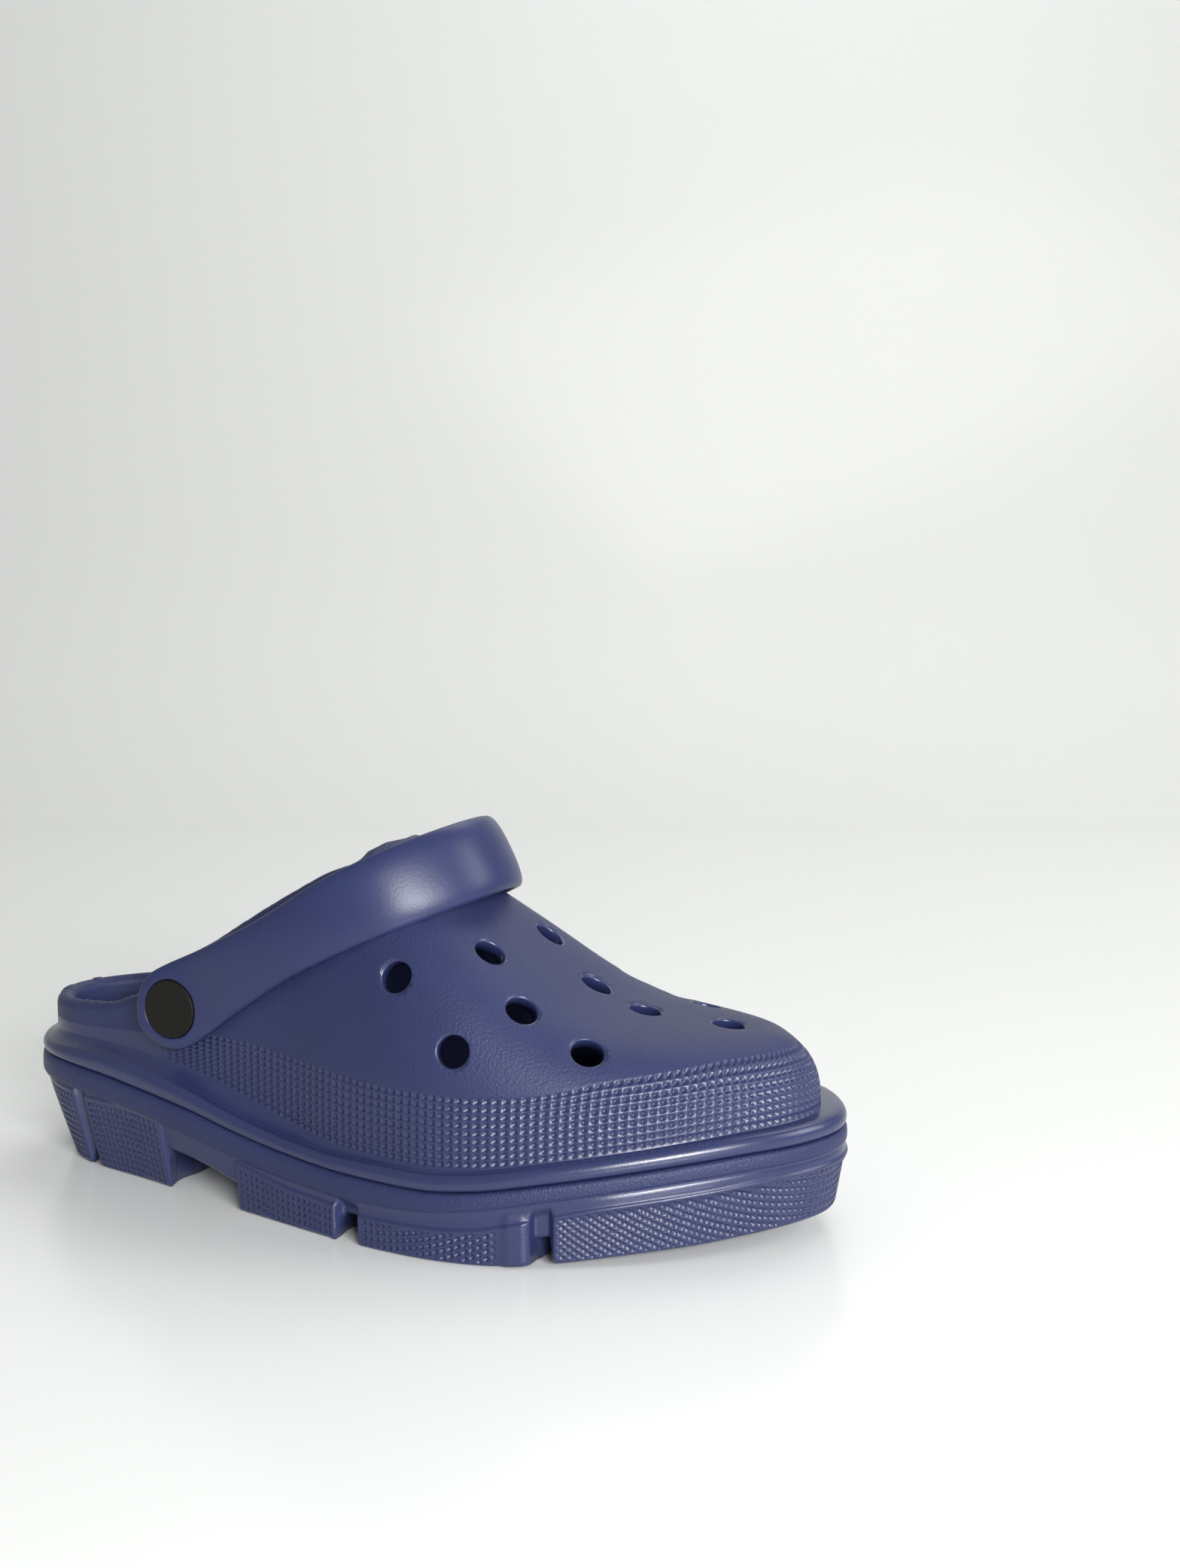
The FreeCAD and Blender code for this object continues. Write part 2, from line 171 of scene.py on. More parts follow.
DENSE = closed_curve(OUTLINE)
DENSE_STEP = np.linalg.norm(np.roll(DENSE, -1, 0) - DENSE, axis=1)
DENSE_AT = np.concatenate([[0], np.cumsum(DENSE_STEP)])
ROUND_TRIP = DENSE_AT[-1]
HEEL_AT = DENSE_AT[DENSE[:, 0].argmin()]
TOE_AT = DENSE_AT[DENSE[:, 0].argmax()]


def outline_point(along):
    """Points of the plan outline at distances along it from the first outline point."""
    along = np.mod(along, ROUND_TRIP)
    loop = np.vstack([DENSE, DENSE[:1]])
    return np.stack([np.interp(along, DENSE_AT, loop[:, i]) for i in (0, 1)], axis=-1)


class Columns:
    """Upright columns round the outline: heel, outer side, toe, inner side and back."""

    def __init__(self, per_cell):
        self.half = CELLS * per_cell
        self.count = 2 * self.half
        index = np.arange(self.count)
        self.cell = index / per_cell
        heel = HEEL_AT if HEEL_AT < ROUND_TRIP / 2 else HEEL_AT - ROUND_TRIP
        outer, inner = TOE_AT - heel, ROUND_TRIP + heel - TOE_AT
        share = index / self.half
        self.along = np.where(share <= 1, heel + share * outer, TOE_AT + (share - 1) * inner)
        self.foot = outline_point(self.along)
        tangent = outline_point(self.along + 0.4) - outline_point(self.along - 0.4)
        tangent /= np.linalg.norm(tangent, axis=1)[:, None]
        self.inward = np.stack([-tangent[:, 1], tangent[:, 0]], axis=1)
        self.x = self.foot[:, 0]
        self.mate = (self.count - index) % self.count
        pair_x = (self.x + self.x[self.mate]) / 2
        self.spine_x = self.spine(pair_x)
        self.spine_y = smooth(RIDGE_Y, self.spine_x)
        self.centre = np.stack([self.spine_x, self.spine_y], axis=1)

    def spine(self, x):
        """The spine is shorter than the clog: x is squeezed towards its two ends."""
        out = np.array(x, float)
        for edge, end, limit in ((SPINE_STRAIGHT_TO, LENGTH, SPINE_FRONT),
                                 (SPINE_STRAIGHT_FROM, 0.0, SPINE_BACK)):
            reach = limit - edge
            past = (out - edge) / reach > 0
            scale = (1 - np.exp(-(out - edge) / reach)) / (1 - math.exp(-(end - edge) / reach))
            out = np.where(past, edge + reach * scale, out)
        return out

    def inset(self, amount):
        return self.foot + self.inward * np.broadcast_to(amount, self.x.shape)[:, None]

    def loop(self, amount, z):
        return np.column_stack([self.inset(amount), np.broadcast_to(z, self.x.shape)])

    def wall_inset(self):
        """The ledge is wider round the inner front of the toe."""
        past_toe = (self.along - TOE_AT - TOE_LEDGE_AT) / TOE_LEDGE_REACH
        return smooth(WALL_INSET, self.x) + TOE_LEDGE * np.exp(-past_toe**2)

    def wall(self):
        """What the upper's arch needs: its foot, its height and its fullness."""
        start = self.inset(self.wall_inset())
        low = smooth(PARTING, self.x) + smooth(WALL_FOOT, self.x)
        high = smooth(RIDGE, self.spine_x)
        return start, low, high, smooth(FULLNESS, self.x)

    def wall_at_height(self, z):
        start, low, high, full = self.wall()
        h = np.clip((z - low) / (high - low), 0, 1)
        u = (1 - h**full)**(1 / full)
        return np.column_stack([self.centre + (start - self.centre) * u[:, None], z])

    def wall_at_turn(self, turn):
        """Point of the arch, with turn 0 at its foot and 1 on the ridge."""
        start, low, high, full = self.wall()
        angle = np.clip(turn, 0, 1) * math.pi / 2
        u = np.maximum(np.cos(angle), 0)**(2 / full)
        h = np.sin(angle)**(2 / full)
        xy = self.centre + (start - self.centre) * u[:, None]
        return np.column_stack([xy, low + (high - low) * h])

    def turn_of_height(self, z):
        start, low, high, full = self.wall()
        h = np.clip((z - low) / (high - low), 0, 1)
        return np.arcsin(h**(full / 2)) / (math.pi / 2)


class Sheet:
    """Vertices and faces gathered row by row."""

    def __init__(self):
        self.points = []
        self.faces = []
        self.kinds = []
        self.total = 0

    def row(self, points):
        start = self.total
        self.points.append(points)
        self.total += len(points)
        return np.arange(start, self.total)

    def spine_row(self, points):
        """One vertex for each pair of facing columns."""
        count = len(points)
        half = count // 2
        kept = self.row(points[:half + 1])
        return np.concatenate([kept, kept[1:half][::-1]])

    def grow(self, last, points, kind):
        """Adds a row of points, joined to the last row."""
        here = self.row(points)
        self.join(last, here, kind)
        return here

    def join(self, low, high, kind=0, use=None):
        """Quads between two rows of as many columns, or of columns twice or more as fine."""
        ratio = len(low) // len(high)
        back = len(high) // len(low)
        columns = range(min(len(low), len(high)))
        count = len(columns)
        for c in columns:
            d = (c + 1) % count
            if use is not None and not (use[c] and use[d]):
                continue
            if ratio > 1:
                ring = [low[(c * ratio + i) % len(low)] for i in range(ratio + 1)]
                ring += [high[d], high[c]]
            elif back > 1:
                ring = [low[c], low[d]]
                ring += [high[(c * back + i) % len(high)] for i in range(back, -1, -1)]
            else:
                ring = [low[c], low[d], high[d], high[c]]
            tidy = []
            for v in ring:
                if int(v) not in tidy:
                    tidy.append(int(v))
            if len(tidy) > 2:
                self.faces.append(tidy)
                self.kinds.append(kind)

    def mesh(self, name):
        points = (np.vstack(self.points) - CENTRE) * MILLIMETRE
        data = bpy.data.meshes.new(name)
        data.from_pydata(points.tolist(), [], self.faces)
        data.polygons.foreach_set("material_index", self.kinds)
        data.polygons.foreach_set("use_smooth", [True] * len(self.faces))
        data.update()
        piece = bpy.data.objects.new(name, data)
        bpy.context.scene.collection.objects.link(piece)
        return piece


def grid_normals(rows, around=True):
    """Outward normals of a grid of rows by columns of points."""
    grid = np.array(rows)
    up = np.gradient(grid, axis=0)
    if around:
        along = np.roll(grid, -1, axis=1) - np.roll(grid, 1, axis=1)
    else:
        along = np.gradient(grid, axis=1)
    normal = np.cross(along, up)
    return normal / np.maximum(np.linalg.norm(normal, axis=2), 1e-9)[:, :, None]


# ---- upper ---------------------------------------------------------------------------
SATIN, GRAIN, LATTICE, LINING, STIPPLE, LUGS = range(6)

# Profiles are (share of the height, inset) or (share of the rise, share of the width).
BEAD_PROFILE = [(0.05, 1.4), (0.10, 0.95), (0.19, 0.6), (0.31, 0.38), (0.45, 0.3), (0.59, 0.42),
                (0.73, 0.78), (0.86, 1.35), (0.95, 2.0), (0.96, 2.5)]
LEDGE_PROFILE = [(0.06, 0.12), (0.2, 0.34), (0.42, 0.58), (0.66, 0.78), (0.86, 0.91),
                 (1.0, 0.985)]
FOOTBED_CURVE = [(0.35, 0.0), (0.7, 0.05), (0.88, 0.6), (0.97, 1.8), (1.0, 4.0)]
BEAD_SEAM_INSET, SEAM_LIFT, LEDGE_START, FOOTBED_DISH = 1.8, 0.05, 2.55, 0.6


def rib(position, width):
    """1 on a rib, 0 in the pit between two ribs; one rib every whole number."""
    away = np.abs(position - np.round(position))
    return 1 - ease(width, width + 0.16, away)


def tub_underside(body, medium, parting):
    """Underside of the footbed tub, out to the foot of the bead."""
    tub = medium.wall_inset() + WALL - FOOTBED
    deep = FOOTBED_DROP + FOOTBED
    centre = np.column_stack([medium.centre, smooth(PARTING, medium.spine_x) - deep])
    ring = medium.loop(tub, parting - deep)
    last = body.spine_row(centre)
    for share in (0.35, 0.7, 1.0):
        last = body.grow(last, centre + (ring - centre) * share, SATIN)
    for amount in (tub, BEAD_SEAM_INSET):
        last = body.grow(last, medium.loop(amount, parting + SEAM_LIFT), SATIN)
    return last


def bead_and_ledge(body, last, medium, parting, foot):
    """Half-round bead at the foot of the wall and the hollow ledge above it."""
    bead_height = smooth(BEAD, medium.x)
    for rise, amount in BEAD_PROFILE:
        last = body.grow(last, medium.loop(amount, parting + bead_height * rise), SATIN)
    room = np.maximum(medium.wall_inset() - LEDGE_START, 0.5)
    for rise, across in LEDGE_PROFILE:
        z = parting + bead_height + (foot - bead_height) * rise * 0.95
        last = body.grow(last, medium.loop(LEDGE_START + room * across, z), SATIN)
    return last


def lattice_band(body, last, fine):
    """Band of square pits between thin ribs, which starts behind the strap's end."""
    low = fine.wall()[1]
    top = smooth(BAND_TOP, fine.x)
    fade = ease(*BAND_FADE, fine.x)
    cell = (0.0, RIB_SHARE, RIB_FOOT, 0.84)
    levels = [(r + part) / BAND_ROWS for r in range(BAND_ROWS) for part in cell] + [1.0]
    base = [fine.wall_at_height(low + (top - low) * level) for level in levels]
    normals = grid_normals(base)
    upright_rib = (np.tile(cell, 2 * CELLS) <= RIB_SHARE).astype(float)
    for i, points in enumerate(base):
        level_rib = 1.0 if i % len(cell) <= 1 else 0.0
        depth = RIB_HEIGHT * (1 - np.maximum(upright_rib, level_rib)) * fade
        kind = LATTICE if i else SATIN
        last = body.grow(last, points - normals[i] * depth[:, None], kind)
    return last


def vamp_grid(medium):
    """Outer surface from the band to the ridge or the collar, and which columns are open."""
    turn_low = medium.turn_of_height(smooth(BAND_TOP, medium.x))
    tries = np.linspace(0, 1, 401)
    heights = np.array([medium.wall_at_turn(np.full(medium.count, t)) for t in tries])
    over = heights[:, :, 2] > smooth(COLLAR, heights[:, :, 0]) - RIM_DROP
    opens = over.any(axis=0)
    turn_end = np.where(opens, tries[over.argmax(axis=0)], 1.0)
    grid = np.array([medium.wall_at_turn(turn_low + (turn_end - turn_low) * i / VAMP_ROWS)
                     for i in range(VAMP_ROWS + 1)])
    # Normals, with the two sides of the ridge sharing theirs.
    normal = grid_normals(grid)
    mean = normal[-2] + normal[-2][medium.mate]
    mean /= np.linalg.norm(mean, axis=1)[:, None]
    normal[-1] = np.where(opens[:, None], normal[-1], mean)
    return grid, normal, opens


def inner_wall(grid, normal, opens):
    """Rows of the inner face, from the rim or the ridge down to the footbed."""
    rows = []
    for share in (1.0, 0.985, 0.96, 0.92, 0.86, 0.78, 0.68, 0.57, 0.45, 0.33, 0.2, 0.08, 0.0):
        i = share * VAMP_ROWS
        k = int(min(math.floor(i), VAMP_ROWS - 1))
        f = i - k
        point = grid[k] * (1 - f) + grid[k + 1] * f
        way = normal[k] * (1 - f) + normal[k + 1] * f
        way /= np.linalg.norm(way, axis=1)[:, None]
        from_rim = np.linalg.norm(point - grid[-1], axis=1)
        swell = RIM_SWELL * (1 - ease(2, 16, from_rim)) * opens
        rows.append(point - way * (WALL + swell)[:, None])
    return rows


def rim(body, outer_end, outer, inner, opens, medium):
    """Rounded rim of the foot opening, between the outer and the inner face."""
    edge = opens.copy()
    for side in (1, -1):
        c = 0
        while opens[(c + side) % medium.count]:
            c += side
        edge[(c + side) % medium.count] = True
    throat = edge & ~opens
    along = np.roll(outer, -1, 0) - np.roll(outer, 1, 0)
    along[throat] = (0, 1, 0)
    along /= np.linalg.norm(along, axis=1)[:, None]
    thick = outer - inner
    width = np.linalg.norm(thick, axis=1)
    facing = thick / width[:, None]
    outward = np.cross(facing, along)
    outward /= np.linalg.norm(outward, axis=1)[:, None]
    up_sign = np.sign(outward[:, 2])
    outward *= np.where(up_sign == 0, 1, up_sign)[:, None]
    outward[throat] = THROAT_FACING
    middle = (outer + inner) / 2
    last = outer_end
    for angle in RIM_ANGLES:
        a = math.radians(angle)
        ring = middle + facing * (width / 2 * math.cos(a))[:, None] \
            + outward * (width / 2 * math.sin(a))[:, None]
        shared = body.spine_row(ring)
        here = np.where(opens, body.row(ring), shared)
        body.join(last, here, GRAIN, use=edge)
        last = here
    inner_spine = (inner + inner[medium.mate]) / 2
    shared = body.spine_row(np.where(opens[:, None], inner, inner_spine))
    here = np.where(opens, body.row(inner), shared)
    body.join(last, here, LINING, use=edge)
    return here


def footbed(body, last, medium, parting, foot):
    """Lower wall inside, its curve into the footbed, and the footbed itself."""
    floor_z = parting - FOOTBED_DROP
    wall_in = medium.wall_inset() + WALL
    for drop, extra in FOOTBED_CURVE:
        z = parting + foot + (floor_z - parting - foot) * drop
        last = body.grow(last, medium.loop(wall_in + extra, z), LINING)
    edge_loop = medium.loop(wall_in + FOOTBED_CURVE[-1][1], floor_z)
    middle_z = smooth(PARTING, medium.spine_x) - FOOTBED_DROP - FOOTBED_DISH
    middle = np.column_stack([medium.centre, middle_z])
    for share in (0.8, 0.6, 0.4, 0.2):
        last = body.grow(last, middle + (edge_loop - middle) * share, LINING)
    body.join(last, body.spine_row(middle), LINING)


def upper_piece():
    fine = Columns(4)
    medium = Columns(2)
    body = Sheet()
    parting = smooth(PARTING, medium.x)
    foot = smooth(WALL_FOOT, medium.x)
    last = tub_underside(body, medium, parting)
    last = bead_and_ledge(body, last, medium, parting, foot)
    last = lattice_band(body, last, fine)
    grid, normal, opens = vamp_grid(medium)
    for points in grid[1:-1]:
        last = body.grow(last, points, GRAIN)
    final = grid[-1]
    spine = body.spine_row(np.where(opens[:, None], final, (final + final[medium.mate]) / 2))
    outer_end = np.where(opens, body.row(final), spine)
    body.join(last, outer_end, GRAIN)
    inner_rows = inner_wall(grid, normal, opens)
    last = rim(body, outer_end, final, inner_rows[0], opens, medium)
    for points in inner_rows[1:]:
        last = body.grow(last, points, LINING)
    footbed(body, last, medium, parting, foot)
    return body.mesh("clog_upper")


# ---- outsole -------------------------------------------------------------------------
def lug_mask(x, soft=0.7):
    """1 under a lug, 0 in the gaps between lugs."""
    mask = np.ones_like(x)
    for start, end in GAPS:
        inside = ease(start - soft, start + soft, x) * (1 - ease(end - soft, end + soft, x))
        mask = mask * (1 - inside)
    return mask


def underside(x):
    ground = smooth(GROUND, x)
    return ground + (1 - lug_mask(x)) * (smooth(GAP_ROOF, x) - 0.3 * ground)


def pad_mask(x, z, border):
    """1 on the raised pad of each lug, less a border, 0 elsewhere."""
    top = smooth(LUG_TOPS, x) + 1.2 - border
    low = underside(x) + border
    across = np.zeros_like(x)
    for start, end in LUG_SPANS if border else PAD_SPANS:
        across += ease(start + border - 0.5, start + border + 0.5, x) \
            * (1 - ease(end - border - 0.5, end - border + 0.5, x))
    return across * (1 - ease(top - 0.5, top + 0.4, z)) * ease(low - 0.5, low + 0.3, z)


def lattice_pits(x, z, along, toe_start):
    """Depth, 0 to 1, of the pits on the lug pads."""
    pitch = 2.35
    drop = smooth(LUG_TOPS, x) - z
    row = drop / pitch
    column = along / pitch
    ball = (x > 160) & (x < 222)
    row = np.where(ball, (z - 0.0055 * (x - 163)**2) / pitch, row)
    toe = x > 222
    run = along - toe_start
    row = np.where(toe, (z + 0.8 * run - 1.3 * run**2 / 300) / pitch, row)
    column = np.where(toe, (run - z * (1 - ease(0, 70, run))) / pitch, column)
    return (1 - rib(row, 0.17)) * (1 - rib(column, 0.17))


def tread(x, y):
    """Height of the wavy grooves across the lugs, whose pitch is 6.5 mm."""
    wave = (x + 2.2 * np.sin(y / 6.0)) / 6.5
    return 1.3 * rib(wave, 0.13) * lug_mask(x, 3.0)


def outsole_piece():
    """Tub seat, smooth strip under the seam, lugs with their pits, and the tread."""
    around = Columns(5)
    body = Sheet()
    x = around.x
    seam = smooth(PARTING, x)
    strip = smooth(STRIP, x)
    bottom = underside(x)
    tub = around.wall_inset() + WALL - FOOTBED - 0.15
    deep = FOOTBED_DROP + FOOTBED + 0.15
    floor = seam - deep
    centre = np.column_stack([around.centre, smooth(PARTING, around.spine_x) - deep])
    last = body.spine_row(centre)
    for amount, z in ((tub, floor), (tub, seam - 0.03), (1.6, seam - 0.03)):
        last = body.grow(last, around.loop(amount, z), SATIN)
    strip_profile = [(0.02, 1.2), (0.07, 0.75), (0.14, 0.4), (0.24, 0.2), (0.4, 0.1),
                     (0.6, 0.06), (0.8, 0.08), (0.93, 0.2), (1.0, 0.55), (1.04, 0.62)]
    for depth, amount in strip_profile:
        last = body.grow(last, around.loop(amount, seam - strip * depth), STIPPLE)
    lateral = np.arange(around.count) <= around.half
    toe_start = around.along[np.where(lateral & (x > 226.5))[0][0]]
    start = seam - strip * 1.04
    rows = 50
    round_off = 1.7
    for i in range(1, rows + 1):
        share = i / rows
        z = start + (bottom - start) * share
        below = (seam - z) / np.maximum(seam - smooth(GROUND, x), 1)
        amount = 0.6 + smooth(GROUND_INSET, x) * below**1.2
        down = start - z
        bulge = ease(224, 244, x) * np.sin(np.clip(down / 6.2, 0, 1) * math.pi)**0.7
        amount = amount - 1.0 * bulge
        pad = pad_mask(x, z, 0.0)
        amount = amount - 0.9 * pad
        post = ease(POST_SPAN[0] - 1, POST_SPAN[0] + 2, x) \
            * (1 - ease(POST_SPAN[1] - 2, POST_SPAN[1] + 1, x)) * (1 - ease(14.5, 17.5, z))
        amount = amount - 0.9 * post
        side_rib = ease(151.8, 153, x) * (1 - ease(153.6, 154.8, x)) * (1 - ease(11.5, 13.5, z))
        amount = amount - 0.7 * side_rib
        groove_top = smooth(LUG_TOPS, x) + 3.5
        gap = (1 - lug_mask(x)) * (1 - ease(groove_top - 3, groove_top + 1.5, z))
        gap = gap * np.where((x > 70) & (x < 115), 0.25, 1.0)
        amount = amount + 2.6 * gap
        texture = pad_mask(x, z, 1.3)
        amount = amount + 1.0 * texture * lattice_pits(x, z, around.along, toe_start)
        near = np.clip((z - bottom) / round_off, 0, 1)
        amount = amount + 1.3 * (1 - np.sqrt(np.clip(1 - (1 - near)**2, 0, 1)))
        last = body.grow(last, around.loop(amount, z), LUGS if i > 6 else SATIN)
    edge_xy = around.inset(amount)
    bottom_rows = 15
    for i in range(1, bottom_rows):
        share = i / bottom_rows
        xy = edge_xy + (around.centre - edge_xy) * share
        z = underside(xy[:, 0])
        z = z + tread(xy[:, 0], xy[:, 1]) * ease(0.05, 0.12, share)
        last = body.grow(last, np.column_stack([xy, z]), LUGS)
    z = underside(around.spine_x)
    z = z + tread(around.spine_x, around.spine_y)
    body.join(last, body.spine_row(np.column_stack([around.centre, z])), LUGS)
    return body.mesh("clog_outsole")


# ---- heel strap ----------------------------------------------------------------------
def open_curve(points, samples):
    """Points evenly spaced by chord on the natural cubic spline through the given ones."""
    p = np.array(points, float)
    n = len(p)
    h = np.linalg.norm(np.diff(p, axis=0), axis=1)
    a = np.eye(n)
    b = np.zeros((n, p.shape[1]))
    for i in range(1, n - 1):
        a[i, i - 1:i + 2] = (h[i - 1], 2 * (h[i - 1] + h[i]), h[i])
        b[i] = 6 * ((p[i + 1] - p[i]) / h[i] - (p[i] - p[i - 1]) / h[i - 1])
    bend = np.linalg.solve(a, b)
    starts = np.concatenate([[0], np.cumsum(h)])
    at = np.linspace(0, starts[-1], samples)
    k = np.clip(np.searchsorted(starts, at, side="right") - 1, 0, n - 2)
    u = (at - starts[k])[:, None]
    step = h[k][:, None]
    w = step - u
    return (bend[k] * w**3 + bend[k + 1] * u**3) / (6 * step) \
        + (p[k] / step - bend[k] * step / 6) * w \
        + (p[k + 1] / step - bend[k + 1] * step / 6) * u


BOW_INNER = [(14, 35.3), (28, 37.4), (45, 38.9), (60, 39.2), (76, 37.1), (90, 31.1), (99.5, 23),
             (106.5, 12.5), (109, 0)]
BOW_OUTER = [(14, 40.3), (28, 42.5), (45, 44.2), (60, 44.6), (77, 42.5), (93, 36), (104, 26.5),
             (112, 14.5), (115, 0)]
UPPER_EDGE = [(0, 14), (22, 12.2), (50, 10.8), (75, 11.8), (100, 11), (119, 9.8)]
LOWER_EDGE = [(0, 14), (22, 12.2), (50, 10.8), (75, 12), (100, 14.6), (119, 16)]


def whole_bow(points, samples):
    """One face of the bow, from the rivet on the outer side round to the other rivet."""
    left = [(0, points[0][1])] + points
    line = [(r, -half) for r, half in left] + [(r, half) for r, half in reversed(left[:-1])]
    return open_curve(line, samples)


def strap_piece():
    """Bowed band with round ends, swung to where it lies over the vamp."""
    samples = 180
    inner = whole_bow(BOW_INNER, samples)
    outer = whole_bow(BOW_OUTER, samples)
    tail_steps = 16
    tail = [-STRAP_END_RADIUS * math.cos(math.radians(90 * i / tail_steps))
            for i in range(tail_steps)]
    tail[0] *= 0.9995

    def with_tails(line):
        start = [(r, line[0][1]) for r in tail]
        end = [(r, line[-1][1]) for r in reversed(tail)]
        return np.vstack([start, line, end])

    inner, outer = with_tails(inner), with_tails(outer)
    middle = (inner + outer) / 2
    across = outer - inner
    thick = np.linalg.norm(across, axis=1)
    across /= thick[:, None]
    r = middle[:, 0]
    tail_half = np.sqrt(np.maximum(STRAP_END_RADIUS**2 - np.minimum(r, 0)**2, 0))
    upper = np.where(r < 0, tail_half, smooth(UPPER_EDGE, r))
    lower = np.where(r < 0, tail_half, smooth(LOWER_EDGE, r))
    around = 44
    power = 3.6
    body = Sheet()
    lean = math.radians(STRAP_REST_ANGLE)
    rows = []
    for j in range(len(r)):
        ring = []
        for k in range(around):
            a = 2 * math.pi * k / around
            c, s = math.cos(a), math.sin(a)
            out = math.copysign(abs(c)**(2 / power), c) * thick[j] / 2
            w = math.copysign(abs(s)**(2 / power), s)
            reach = upper[j] if s > 0 else lower[j]
            w = w * reach
            # The outer face is crowned.
            if c > 0:
                out -= STRAP_CROWN * (w / reach)**2 * ease(14, 40, r[j])
            rr = middle[j, 0] + across[j, 0] * out
            y = middle[j, 1] + across[j, 1] * out
            ring.append((PIVOT[0] + rr * math.cos(lean) - w * math.sin(lean),
                         PIVOT[1] + y,
                         PIVOT[2] + rr * math.sin(lean) + w * math.cos(lean)))
        rows.append(body.row(np.array(ring)))
    for low, high in zip(rows, rows[1:]):
        body.join(low, high)
    body.faces.append([int(v) for v in rows[0][::-1]])
    body.faces.append([int(v) for v in rows[-1]])
    body.kinds += [0, 0]
    return body.mesh("clog_heel_strap")


# ---- cutters -------------------------------------------------------------------------
def turned(name, profile, place, axis, segments=48, kind=0):
    """Closed turned form; the profile is (radius, distance along the axis)."""
    points, faces = [], []
    turn = Vector(axis).to_track_quat("Z", "Y").to_matrix()
    for radius, height in profile:
        for i in range(segments):
            a = 2 * math.pi * i / segments
            spot = turn @ Vector((radius * math.cos(a), radius * math.sin(a), height))
            points.append(Vector(place) + spot)
    for j in range(len(profile) - 1):
        for i in range(segments):
            k = (i + 1) % segments
            faces.append((j * segments + i, j * segments + k,
                          (j + 1) * segments + k, (j + 1) * segments + i))
    faces.append(tuple(reversed(range(segments))))
    faces.append(tuple(range((len(profile) - 1) * segments, len(profile) * segments)))
    data = bpy.data.meshes.new(name)
    spots = [(p - Vector(CENTRE)) * MILLIMETRE for p in points]
    data.from_pydata(spots, [], faces)
    data.polygons.foreach_set("material_index", [kind] * len(faces))
    data.polygons.foreach_set("use_smooth", [True] * len(faces))
    data.update()
    piece = bpy.data.objects.new(name, data)
    bpy.context.scene.collection.objects.link(piece)
    return piece


def make_outward(piece):
    """Turns the faces outward if the closed mesh was made inside out."""
    work = bmesh.new()
    work.from_mesh(piece.data)
    if work.calc_volume(signed=True) < 0:
        bmesh.ops.reverse_faces(work, faces=work.faces)
    work.to_mesh(piece.data)
    work.free()


def carve(piece, cutters):
    """Cuts all the cutters out of the piece and removes them."""
    for cutter in cutters:
        make_outward(cutter)
    bpy.ops.object.select_all(action="DESELECT")
    for cutter in cutters:
        cutter.select_set(True)
    bpy.context.view_layer.objects.active = cutters[0]
    if len(cutters) > 1:
        bpy.ops.object.join()
    tool = bpy.context.view_layer.objects.active
    cut = piece.modifiers.new("cut", "BOOLEAN")
    cut.operation = "DIFFERENCE"
    cut.solver = "EXACT"
    cut.object = tool
    graph = bpy.context.evaluated_depsgraph_get()
    made = bpy.data.meshes.new_from_object(piece.evaluated_get(graph))
    piece.modifiers.clear()
    piece.data = made
    bpy.data.objects.remove(tool)


def vent_cutters(piece):
    """Cutters square to the surface, with a rounded lip, at every vent."""
    work = BVHTree.FromPolygons([v.co for v in piece.data.vertices],
                                [tuple(f.vertices) for f in piece.data.polygons])
    lip = VENT_LIP
    profile = [(HOLE_RADIUS, -11.0), (HOLE_RADIUS, -lip - 0.25)]
    for angle in (22, 45, 66, 80):
        a = math.radians(angle)
        profile.append((HOLE_RADIUS + lip * (1 - math.cos(a)), -0.25 - lip * (1 - math.sin(a))))
    profile.append((HOLE_RADIUS + lip + 0.05, -0.2))
    profile.append((HOLE_RADIUS + lip + 1.2, 2.5))
    made = []
    for x, y in sum(VENT_ROWS.values(), []):
        above = (Vector((x, y, 160)) - Vector(CENTRE)) * MILLIMETRE
        spot = work.ray_cast(above, Vector((0, 0, -1)))[0]
        around = [work.ray_cast(above + Vector((dx, dy, 0)), Vector((0, 0, -1)))[1]
                  for dx, dy in ((0.002, 0), (-0.002, 0), (0, 0.002), (0, -0.002))]
        way = sum((w if w.z > 0 else -w for w in around), Vector((0, 0, 0))).normalized()
        made.append(turned("vent", profile, spot / MILLIMETRE + Vector(CENTRE), way, 56, GRAIN))
    return made


def rivet_recesses():
    """Seats of the two rivet buttons in the strap, and the bores for their shanks."""
    made = []
    depth = STRAP_END_HALF + STRAP_THICK - 2.4
    for side in (-1, 1):
        start = Vector(PIVOT) + Vector((0, side * depth, 0))
        profile = [(RECESS_RADIUS + more, height) for more, height in
                   ((0, 0), (0, 1.9), (0.12, 2.2), (0.45, 2.42), (0.9, 3.4))]
        made.append(turned("recess", profile, start, (0, side, 0), 72))
        hole = [(BORE_RADIUS, -6.0), (BORE_RADIUS, 1.0)]
        made.append(turned("bore", hole, start, (0, side, 0), 48))
    return made


# ---- materials -----------------------------------------------------------------------
def new_material(name, colour, roughness, specular):
    material = bpy.data.materials.new(name)
    material.use_nodes = True
    tree = material.node_tree
    shader = tree.nodes["Principled BSDF"]
    shader.inputs["Roughness"].default_value = roughness
    shader.inputs["Specular IOR Level"].default_value = specular
    shader.inputs["Base Color"].default_value = (*colour, 1)
    return material, tree, shader


def add(tree, kind, **settings):
    node = tree.nodes.new(kind)
    for key, value in settings.items():
        if key.startswith("in_"):
            node.inputs[key[3:].replace("_", " ")].default_value = value
        else:
            setattr(node, key, value)
    return node


